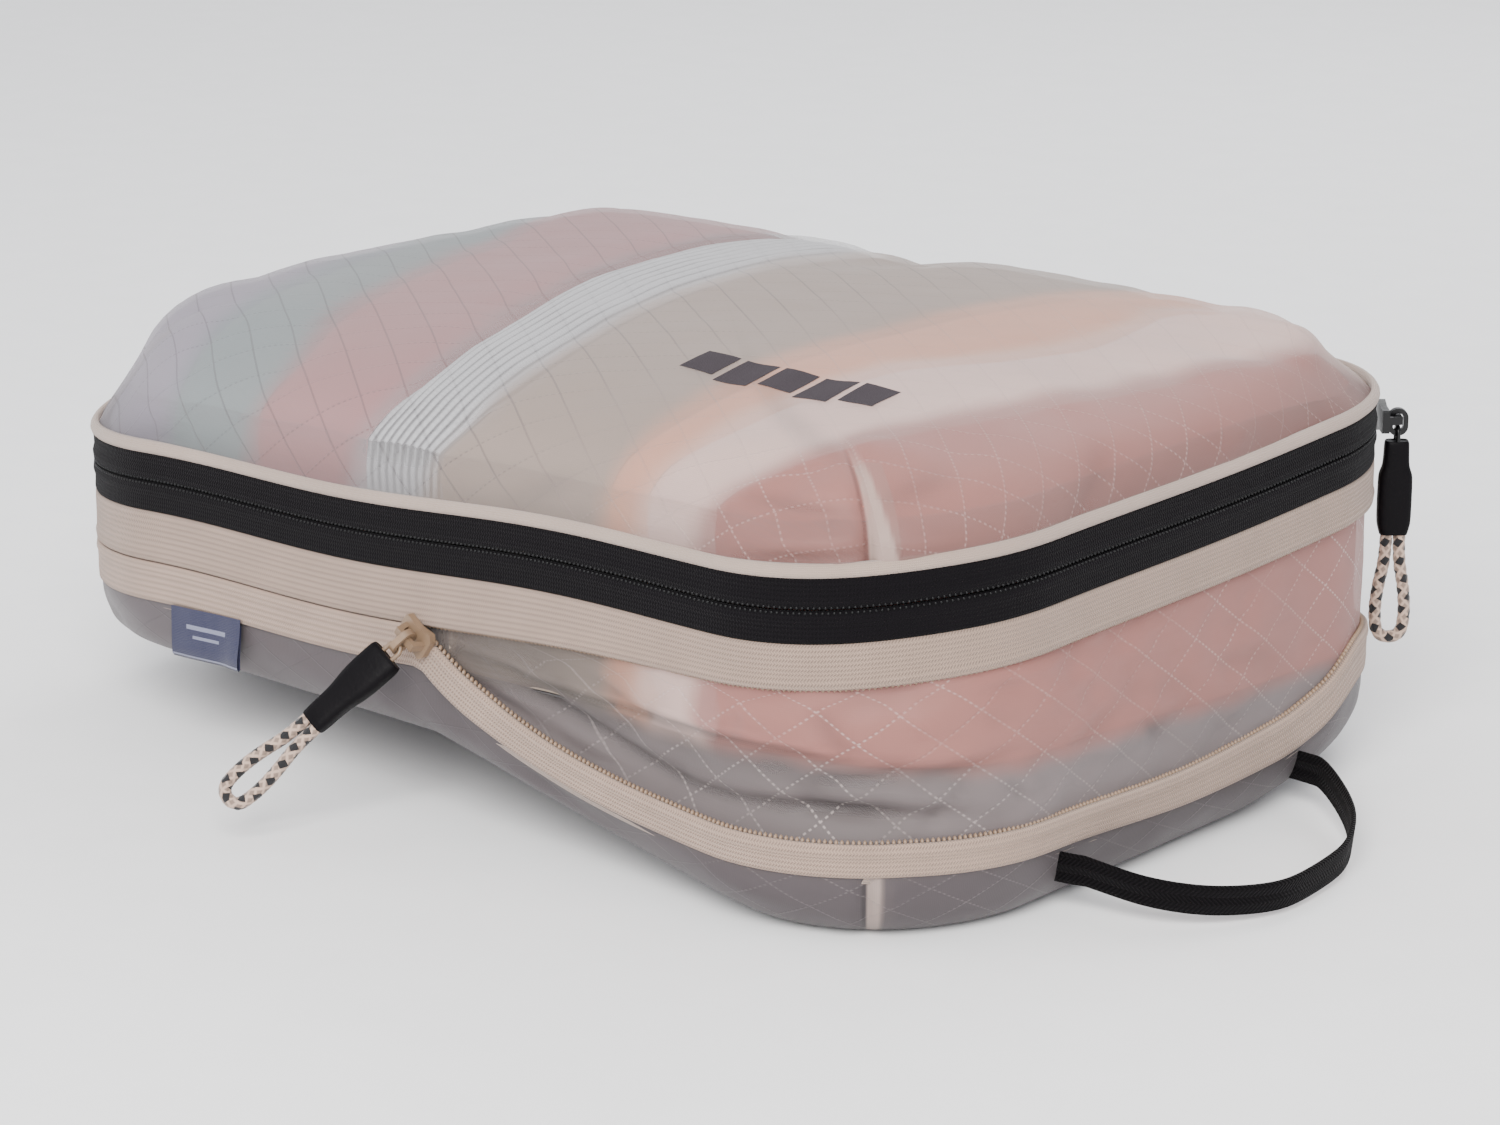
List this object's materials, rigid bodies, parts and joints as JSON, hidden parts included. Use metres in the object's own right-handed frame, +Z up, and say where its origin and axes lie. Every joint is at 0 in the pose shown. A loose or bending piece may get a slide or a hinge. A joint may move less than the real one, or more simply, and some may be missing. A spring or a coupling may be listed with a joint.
{
  "type": "packing cube",
  "caption": "Rectangular translucent packing cube with a domed zip-open lid, a part-open compression zipper round its side, cord pulls and a webbing carry handle, packed with garments.",
  "frame": {"origin": "middle of the plan, on the surface that the cube stands on", "axes": "+X towards the short side with the carry handle, -Y towards the long side with the open end of the compression zipper, +Z up"},
  "size_m": [0.4165, 0.3189, 0.1391],
  "materials": {
    "milky_ripstop": "matt, translucent",
    "black_zip_tape": "woven, matt",
    "black_coil": "satin nylon",
    "cream_zip_tape": "woven, matt",
    "cream_coil": "satin nylon",
    "cream_binding": "folded woven tape",
    "black_slider": "satin black enamel",
    "cream_slider": "satin cream enamel",
    "black_grip": "soft matt sleeve",
    "flecked_cord": "braided, flecked black",
    "black_webbing": "ribbed webbing",
    "blue_label": "satin woven label",
    "lavender_cloth": "soft knit",
    "mint_cloth": "soft knit",
    "pink_cloth": "soft knit",
    "white_cloth": "ribbed knit",
    "taupe_cloth": "brushed cotton",
    "peach_cloth": "soft knit",
    "grey_cloth": "brushed cotton"
  },
  "bodies": {
    "base": {"lower_shell": "milky_ripstop", "lower_corner_seams": "cream_binding", "lower_seam_binding": "cream_binding", "compression_zip_lower_tape": "cream_zip_tape", "compression_zip_lower_coil": "cream_coil", "gusset": "milky_ripstop", "side_label": "blue_label", "handle_anchors": "black_webbing", "grey_trousers": "grey_cloth", "lavender_shirt": "lavender_cloth", "mint_shirt": "mint_cloth", "pink_sweater": "pink_cloth", "ribbed_top": "white_cloth", "taupe_trousers": "taupe_cloth", "peach_shirt": "peach_cloth", "white_shirt": "white_cloth", "rose_sweater": "pink_cloth"},
    "middle_band": {"compression_zip_upper_tape": "cream_zip_tape", "compression_zip_upper_coil": "cream_coil", "main_zip_lower_tape": "black_zip_tape", "main_zip_lower_coil": "black_coil", "band_back_strip": "cream_binding", "band_seam_binding": "cream_binding", "main_zip_end_tabs": "cream_binding"},
    "lid": {"top_panel": "milky_ripstop", "lid_edge_piping": "cream_binding", "main_zip_upper_tape": "black_zip_tape", "main_zip_upper_coil": "black_coil", "top_corner_seams": "cream_binding", "lid_back_strip": "cream_binding"},
    "main_slider": {"main_slider_body": "black_slider", "main_slider_crown": "black_slider"},
    "main_link": {"main_pull_link": "black_slider"},
    "main_pull": {"main_pull_eye": "flecked_cord", "main_pull_grip": "black_grip", "main_pull_cord": "flecked_cord"},
    "compression_slider": {"compression_slider_body": "cream_slider", "compression_slider_crown": "cream_slider"},
    "compression_link": {"compression_pull_link": "cream_slider"},
    "compression_pull": {"compression_pull_eye": "flecked_cord", "compression_pull_grip": "black_grip", "compression_pull_cord": "flecked_cord"},
    "handle": {"handle_webbing": "black_webbing"}
  },
  "joints": [
    {"name": "expand", "type": "hinge", "parent": "base", "child": "middle_band", "pos_m": [0.184, 0, 0.074], "axis": [0, 1, 0], "range_deg": [0, 8], "deforming": ["gusset"]},
    {"name": "lid_open", "type": "hinge", "parent": "middle_band", "child": "lid", "pos_m": [0, 0.1355, 0.09788], "axis": [-0.9988, 0, -0.0499], "range_deg": [0, 115]},
    {"name": "main_slider_travel", "type": "hinge", "parent": "middle_band", "child": "main_slider", "pos_m": [0.118, 0.068, 0.10147], "axis": [-0.0499, -0.0349, 0.9981], "range_deg": [-43, 0]},
    {"name": "main_link_swing", "type": "hinge", "parent": "main_slider", "child": "main_link", "pos_m": [0.1708, 0.11724, 0.10583], "axis": [0.682, -0.7314, 0], "range_deg": [0, 165]},
    {"name": "main_pull_swing", "type": "hinge", "parent": "main_link", "child": "main_pull", "pos_m": [0.1708, 0.11724, 0.10118], "axis": [0.7314, 0.682, 0], "range_deg": [-30, 30]},
    {"name": "compression_slider_travel", "type": "slide", "parent": "base", "child": "compression_slider", "axis": [-0.9988, 0, -0.0499], "range_m": [0, 0.11]},
    {"name": "compression_link_swing", "type": "hinge", "parent": "compression_slider", "child": "compression_link", "pos_m": [0.004, -0.1402, 0.06], "axis": [-0.8174, 0, 0.576], "range_deg": [-34, 120]},
    {"name": "compression_pull_swing", "type": "hinge", "parent": "compression_link", "child": "compression_pull", "pos_m": [0.00185, -0.14297, 0.05695], "axis": [0.3435, -0.8028, 0.4874], "range_deg": [-30, 30]},
    {"name": "handle_swing", "type": "hinge", "parent": "base", "child": "handle", "pos_m": [0.19, 0, 0.013], "axis": [0, -1, 0], "range_deg": [0, 100]}
  ]
}
